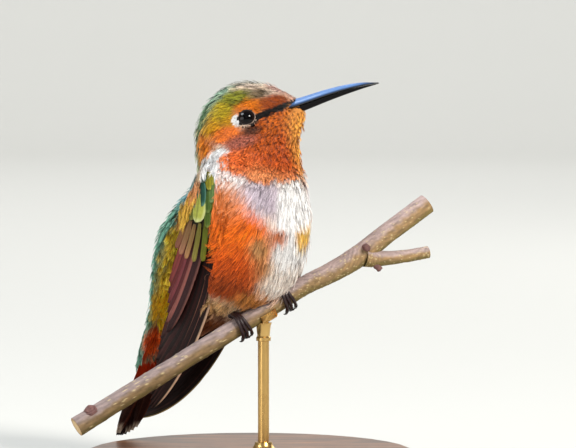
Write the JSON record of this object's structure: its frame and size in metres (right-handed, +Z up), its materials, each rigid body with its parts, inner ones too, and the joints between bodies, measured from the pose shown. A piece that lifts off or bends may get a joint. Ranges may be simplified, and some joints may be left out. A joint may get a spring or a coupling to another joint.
{
  "type": "perched hummingbird museum model",
  "caption": "Life-size still model of a hummingbird gripping a cut, forked twig, held on a rod above a round wooden base.",
  "frame": {"origin": "centre of the base's underside, on the floor", "axes": "+Z up; +X the way the bill points, to the camera's right; +Y away from the camera"},
  "size_m": [0.064, 0.06, 0.07],
  "materials": {
    "green_plumage": "bronze-green plumage, slightly iridescent",
    "orange_plumage": "glossy orange gorget feathers",
    "pale_plumage": "soft white to rufous plumage",
    "flight_feathers": "dark maroon-brown flight feathers",
    "green_coverts": "green wing coverts",
    "bill": "black horn, glossy",
    "eye": "wet black-brown",
    "feet": "dark scaly skin and horn",
    "bark": "smooth grey-brown bark",
    "walnut": "satin walnut",
    "brass": "polished brass"
  },
  "bodies": {
    "root": {"head": "green_plumage", "neck": "orange_plumage", "trunk": "pale_plumage", "eye_right": "eye", "eye_left": "eye", "bill_upper": "bill", "bill_lower": "bill", "wing_right_coverts": "green_coverts", "wing_right_secondaries": "flight_feathers", "wing_right_primaries": "flight_feathers", "wing_left_coverts": "green_coverts", "wing_left_secondaries": "flight_feathers", "wing_left_primaries": "flight_feathers", "tail": "flight_feathers", "leg_right": "pale_plumage", "leg_left": "pale_plumage", "foot_right": "feet", "foot_left": "feet", "perch_stem": "bark", "perch_side_twig": "bark", "stand_base": "walnut", "stand_rod": "brass"}
  },
  "joints": []
}
